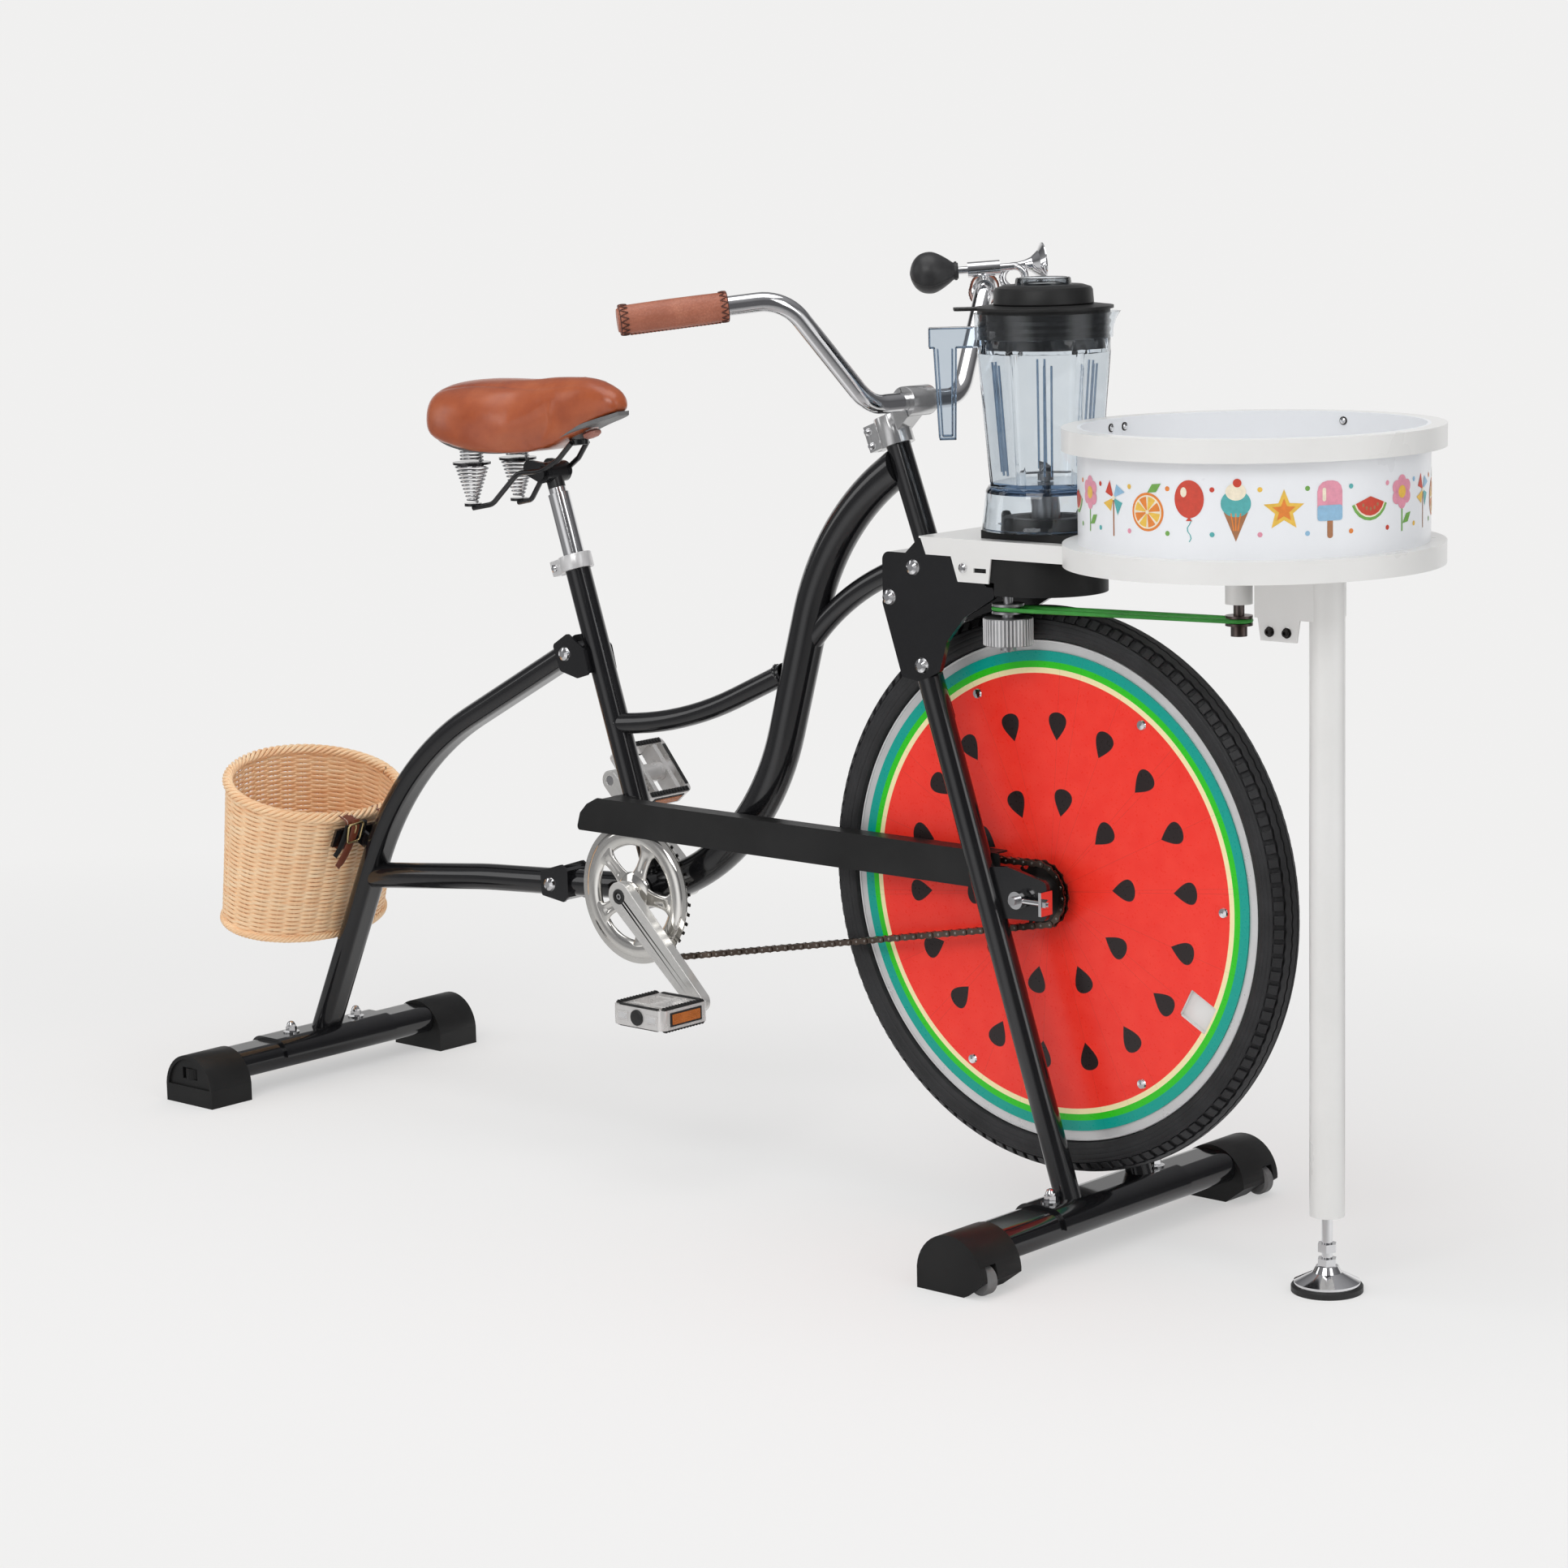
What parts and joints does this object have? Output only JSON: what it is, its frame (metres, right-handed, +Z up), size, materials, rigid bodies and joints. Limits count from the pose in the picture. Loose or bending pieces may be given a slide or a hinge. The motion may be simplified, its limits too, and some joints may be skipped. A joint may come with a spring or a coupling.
{
  "type": "blender bicycle",
  "caption": "Stationary pedal bicycle that drives a blender jug and a spinning drum from its disc-covered wheel, with sprung saddle, basket and bulb horn.",
  "frame": {"origin": "on the floor under the middle of the bounding box", "axes": "+X forward to the drum, +Y to the rider's left, +Z up"},
  "size_m": [1.8252, 0.656, 1.112],
  "materials": {
    "gloss_black": "gloss",
    "matt_black": "matt",
    "white_paint": "satin",
    "chrome": "polished",
    "steel": "brushed",
    "dark_steel": "oiled",
    "alloy": "satin",
    "tyre_rubber": "matt",
    "black_rubber": "matt",
    "printed_disc": "printed rings and seeds",
    "green_belt": "satin",
    "clear_jug": "clear",
    "black_lid": "satin",
    "brown_leather": "satin",
    "tan_leather": "satin",
    "wicker": "woven",
    "grey_plastic": "matt"
  },
  "bodies": {
    "stand": {"foot_tubes": "gloss_black", "foot_caps": "matt_black", "rear_stay": "gloss_black", "stay_lugs": "gloss_black", "main_frame": "gloss_black", "seat_tube": "gloss_black", "seat_collar": "alloy", "stem": "alloy", "fork_crown": "gloss_black", "bracket_plates": "gloss_black", "fork_legs": "gloss_black", "wheel_axle": "steel", "chain": "dark_steel", "chain_guard": "matt_black", "drive_housing": "matt_black", "table_arm": "white_paint", "shaft_bearings": "steel", "transfer_belt": "black_rubber", "round_belt": "green_belt", "jug_dock": "matt_black", "drum_wall": "white_paint", "drum_hoops": "white_paint", "drum_floor": "white_paint", "support_post": "white_paint", "basket": "wicker", "basket_straps": "brown_leather", "fasteners": "chrome"},
    "wheel": {"tyre": "tyre_rubber", "rim": "alloy", "hub_spokes": "steel", "wheel_discs": "printed_disc", "disc_screws": "chrome", "sprocket": "dark_steel"},
    "crank": {"crank_axles": "steel", "cranks": "chrome", "chainring": "dark_steel", "chainring_guard": "chrome"},
    "right_pedal": {"pedal_right": "alloy"},
    "left_pedal": {"pedal_left": "alloy"},
    "roller": {"friction_roller": "steel"},
    "coupler": {"drive_coupler": "dark_steel"},
    "spinner_head": {"spinner": "alloy"},
    "jug_body": {"jug": "clear_jug"},
    "blade_set": {"blades": "steel"},
    "jug_lid": {"lid": "black_lid"},
    "lid_cap": {"filler_cap": "black_lid"},
    "post": {"seatpost": "chrome"},
    "saddle": {"saddle_rails": "gloss_black", "saddle_springs": "steel", "saddle_pan": "grey_plastic", "saddle_cushion": "brown_leather"},
    "bars": {"handlebar": "chrome", "grips": "tan_leather", "horn": "chrome", "horn_bulb": "black_rubber"},
    "drum_foot": {"levelling_foot": "chrome", "foot_pad": "black_rubber"},
    "right_leveller": {"leveller_right": "matt_black"},
    "left_leveller": {"leveller_left": "matt_black"},
    "carry_rollers": {"transport_rollers": "grey_plastic"}
  },
  "joints": [
    {"name": "wheel_spin", "type": "hinge", "parent": "stand", "child": "wheel", "pos_m": [0.4386, 0, 0.397], "axis": [0, 1, 0], "continuous": true, "deforming": ["chain"]},
    {"name": "crank_spin", "type": "hinge", "parent": "stand", "child": "crank", "pos_m": [-0.19025, 0, 0.327], "axis": [0, 1, 0], "continuous": true},
    {"name": "pedal_right_spin", "type": "hinge", "parent": "crank", "child": "right_pedal", "pos_m": [-0.06592, -0.128, 0.21106], "axis": [0, 1, 0], "continuous": true},
    {"name": "pedal_left_spin", "type": "hinge", "parent": "crank", "child": "left_pedal", "pos_m": [-0.31458, 0.128, 0.44294], "axis": [0, 1, 0], "continuous": true},
    {"name": "roller_spin", "type": "hinge", "parent": "stand", "child": "roller", "pos_m": [0.4126, -0.0519, 0.697], "axis": [0, 0, 1], "continuous": true},
    {"name": "coupler_spin", "type": "hinge", "parent": "stand", "child": "coupler", "pos_m": [0.4266, 0, 0.795], "axis": [0, 0, 1], "continuous": true},
    {"name": "spinner_spin", "type": "hinge", "parent": "stand", "child": "spinner_head", "pos_m": [0.6906, -0.002, 0.784], "axis": [0, 0, 1], "continuous": true},
    {"name": "jug_lift", "type": "slide", "parent": "stand", "child": "jug_body", "axis": [0, 0, 1], "range_m": [0, 0.12]},
    {"name": "blade_spin", "type": "hinge", "parent": "jug_body", "child": "blade_set", "pos_m": [0.4266, 0, 0.855], "axis": [0, 0, 1], "continuous": true},
    {"name": "lid_lift", "type": "slide", "parent": "jug_body", "child": "jug_lid", "axis": [0, 0, 1], "range_m": [0, 0.08]},
    {"name": "cap_lift", "type": "slide", "parent": "jug_lid", "child": "lid_cap", "axis": [0, 0, 1], "range_m": [0, 0.05]},
    {"name": "seatpost_height", "type": "slide", "parent": "stand", "child": "post", "axis": [-0.3074, 0, 0.9516], "range_m": [-0.05, 0.06]},
    {"name": "saddle_tilt", "type": "hinge", "parent": "post", "child": "saddle", "pos_m": [-0.35438, 0, 0.83515], "axis": [0, 1, 0], "range_deg": [-12, 12]},
    {"name": "handlebar_tilt", "type": "hinge", "parent": "stand", "child": "bars", "pos_m": [0.23859, 0, 0.94206], "axis": [0, 1, 0], "range_deg": [-15, 15]},
    {"name": "drum_foot_turn", "type": "hinge", "parent": "stand", "child": "drum_foot", "pos_m": [0.8106, -0.011, 0], "axis": [0, 0, 1], "continuous": true},
    {"name": "leveller_right_turn", "type": "hinge", "parent": "stand", "child": "right_leveller", "pos_m": [-0.8324, -0.2245, 0.04], "axis": [0, 0, 1], "continuous": true},
    {"name": "leveller_left_turn", "type": "hinge", "parent": "stand", "child": "left_leveller", "pos_m": [-0.8324, 0.2245, 0.04], "axis": [0, 0, 1], "continuous": true},
    {"name": "carry_roller_spin", "type": "hinge", "parent": "stand", "child": "carry_rollers", "pos_m": [0.5306, 0, 0.0185], "axis": [0, 1, 0], "continuous": true}
  ],
  "couplings": [
    {"joint": "crank_spin", "follows": "wheel_spin", "ratio": 0.42857},
    {"joint": "roller_spin", "follows": "wheel_spin", "ratio": -10.896},
    {"joint": "coupler_spin", "follows": "wheel_spin", "ratio": -16.707},
    {"joint": "blade_spin", "follows": "wheel_spin", "ratio": -16.707},
    {"joint": "spinner_spin", "follows": "wheel_spin", "ratio": -13.41}
  ]
}
